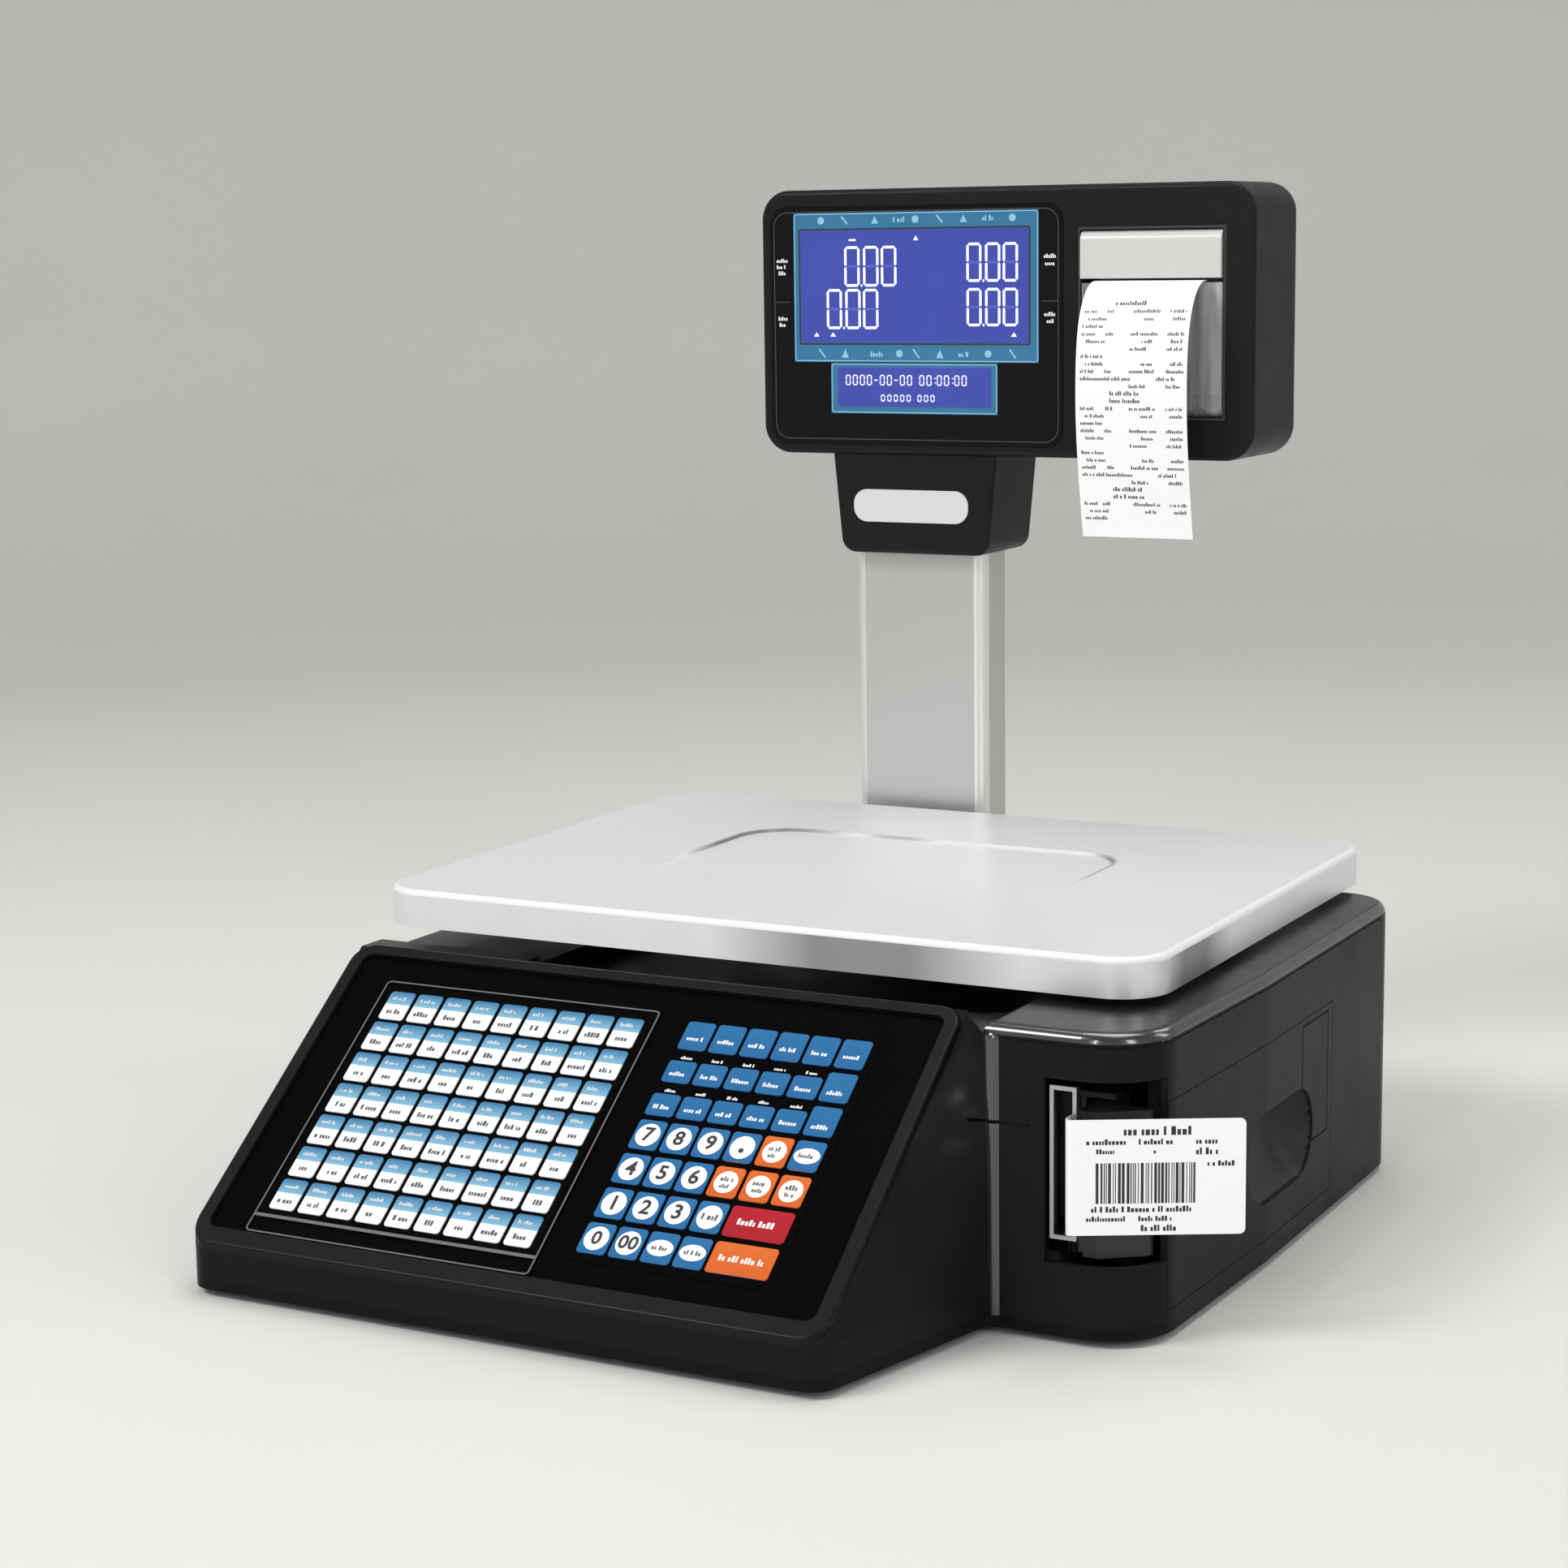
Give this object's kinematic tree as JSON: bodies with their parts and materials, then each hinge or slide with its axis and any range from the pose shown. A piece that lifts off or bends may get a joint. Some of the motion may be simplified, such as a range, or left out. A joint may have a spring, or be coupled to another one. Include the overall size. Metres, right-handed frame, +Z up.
{
  "type": "retail price scale",
  "caption": "Counter price scale: lift-off platter over a load cell, sloped key console, side label-printer cassette, and a pole-mounted display head with a receipt printer.",
  "frame": {"origin": "middle of the footprint box at the level of the feet", "axes": "+Z up, -Y towards the person at the keys, +X towards the label printer's side"},
  "size_m": [0.433, 0.5066, 0.4697],
  "materials": {
    "black_gloss": "glossy moulded ABS",
    "black_satin": "fine satin moulded ABS",
    "bezel_black": "semi-gloss moulded frame",
    "panel_black": "smooth black film",
    "key_film": "printed polyester film",
    "clear_film": "clear film",
    "smoked": "smoked polycarbonate",
    "window_black": "black acrylic",
    "lcd": "lit display glass",
    "stainless": "satin stainless",
    "steel": "plated steel",
    "aluminium": "anodised extrusion",
    "cast_aluminium": "sand-blasted casting",
    "rubber": "moulded rubber",
    "board_green": "solder mask",
    "white_plastic": "gloss white plate",
    "lever_grey": "pale grey satin",
    "paper": "thermal paper",
    "connector_black": "moulded nylon",
    "vial_green": "spirit vial",
    "print_head": "thermal head",
    "lever_green": "moulded lever",
    "white_nylon": "gear nylon"
  },
  "bodies": {
    "base": {"base_tray": "black_satin", "upper_housing": "black_gloss", "console_bezel": "bezel_black", "key_panel": "panel_black", "hot_keys": "key_film", "card_pocket": "clear_film", "function_keys": "key_film", "keyboard_board": "board_green", "main_board": "board_green", "power_supply": "steel", "connector_plate": "steel", "rear_ports": "steel", "power_inlet": "connector_black", "switch_frame": "connector_black", "level_vial": "vial_green", "load_cell": "aluminium", "cell_base": "cast_aluminium", "cell_bolts": "steel", "spider": "cast_aluminium", "pole_socket": "black_satin", "pole": "aluminium", "pole_bolts": "steel", "neck": "black_gloss", "neck_plate": "white_plastic", "head_front": "black_satin", "head_back": "black_satin", "display_window": "window_black", "main_lcd": "lcd", "line_lcd": "lcd", "rear_lcd": "lcd", "head_board": "board_green", "receipt_well": "black_satin", "receipt_head": "print_head", "cassette_rails": "steel", "platter_stud_1": "rubber", "platter_stud_2": "rubber", "platter_stud_3": "rubber", "platter_stud_4": "rubber"},
    "platter": {"platter": "stainless"},
    "power_rocker": {"power_rocker": "connector_black"},
    "cassette": {"cassette_cover": "black_gloss", "cassette_chassis": "black_satin", "outlet_frame": "steel", "label_motor": "steel", "label_head": "print_head", "printed_label": "paper"},
    "label_platen": {"label_platen": "rubber"},
    "motor_pinion": {"motor_pinion": "white_nylon"},
    "label_roll": {"label_roll": "paper"},
    "rewind_spool": {"rewind_spool": "white_nylon"},
    "head_latch": {"head_latch": "lever_green"},
    "receipt_door": {"receipt_door": "smoked"},
    "receipt_platen": {"receipt_platen": "rubber"},
    "receipt_lever": {"receipt_lever": "lever_grey"},
    "receipt_roll": {"receipt_roll": "paper"},
    "receipt_strip": {"receipt_strip": "paper"},
    "foot_1": {"foot_1": "rubber"},
    "foot_2": {"foot_2": "rubber"},
    "foot_3": {"foot_3": "rubber"},
    "foot_4": {"foot_4": "rubber"}
  },
  "joints": [
    {"name": "platter_lift", "type": "slide", "parent": "base", "child": "platter", "axis": [0, 0, 1], "range_m": [0, 0.08]},
    {"name": "power_switch", "type": "hinge", "parent": "base", "child": "power_rocker", "pos_m": [0.109, 0.1623, 0.041], "axis": [1, 0, 0], "range_deg": [0, 12]},
    {"name": "cassette_slide", "type": "slide", "parent": "base", "child": "cassette", "axis": [1, 0, 0], "range_m": [0, 0.112]},
    {"name": "label_platen_spin", "type": "hinge", "parent": "cassette", "child": "label_platen", "pos_m": [0.136, -0.1133, 0.072], "axis": [0, 0, 1], "continuous": true},
    {"name": "motor_pinion_spin", "type": "hinge", "parent": "cassette", "child": "motor_pinion", "pos_m": [0.12024, -0.1042, 0.033], "axis": [0, 0, 1], "continuous": true},
    {"name": "label_roll_spin", "type": "hinge", "parent": "cassette", "child": "label_roll", "pos_m": [0.128, 0.0017, 0.072], "axis": [0, 0, 1], "continuous": true},
    {"name": "rewind_spin", "type": "hinge", "parent": "cassette", "child": "rewind_spool", "pos_m": [0.0935, -0.0883, 0.072], "axis": [0, 0, 1], "continuous": true},
    {"name": "head_latch_turn", "type": "hinge", "parent": "cassette", "child": "head_latch", "pos_m": [0.14, -0.1003, 0.092], "axis": [0, 0, -1], "range_deg": [0, 35]},
    {"name": "receipt_door_hinge", "type": "hinge", "parent": "base", "child": "receipt_door", "pos_m": [0.055, 0.1887, 0.3622], "axis": [1, 0, 0], "range_deg": [0, 75]},
    {"name": "receipt_platen_spin", "type": "hinge", "parent": "receipt_door", "child": "receipt_platen", "pos_m": [0.055, 0.1903, 0.4146], "axis": [1, 0, 0], "continuous": true},
    {"name": "receipt_strip_hang", "type": "hinge", "parent": "receipt_door", "child": "receipt_strip", "pos_m": [0.055, 0.1903, 0.4146], "axis": [1, 0, 0], "range_deg": [-75, 0]},
    {"name": "receipt_lever_press", "type": "hinge", "parent": "base", "child": "receipt_lever", "pos_m": [0.055, 0.1853, 0.442], "axis": [-1, 0, 0], "range_deg": [0, 25], "stiffness_Nm_per_rad": 0.05, "springref_deg": -5.73},
    {"name": "receipt_roll_spin", "type": "hinge", "parent": "base", "child": "receipt_roll", "pos_m": [0.055, 0.2167, 0.388], "axis": [1, 0, 0], "continuous": true},
    {"name": "foot_1_screw", "type": "slide", "parent": "base", "child": "foot_1", "axis": [0, 0, -1], "range_m": [0, 0.008]},
    {"name": "foot_2_screw", "type": "slide", "parent": "base", "child": "foot_2", "axis": [0, 0, -1], "range_m": [0, 0.008]},
    {"name": "foot_3_screw", "type": "slide", "parent": "base", "child": "foot_3", "axis": [0, 0, -1], "range_m": [0, 0.008]},
    {"name": "foot_4_screw", "type": "slide", "parent": "base", "child": "foot_4", "axis": [0, 0, -1], "range_m": [0, 0.008]}
  ],
  "couplings": [
    {"joint": "motor_pinion_spin", "follows": "label_platen_spin", "ratio": -2},
    {"joint": "receipt_strip_hang", "follows": "receipt_door_hinge", "ratio": -1}
  ]
}
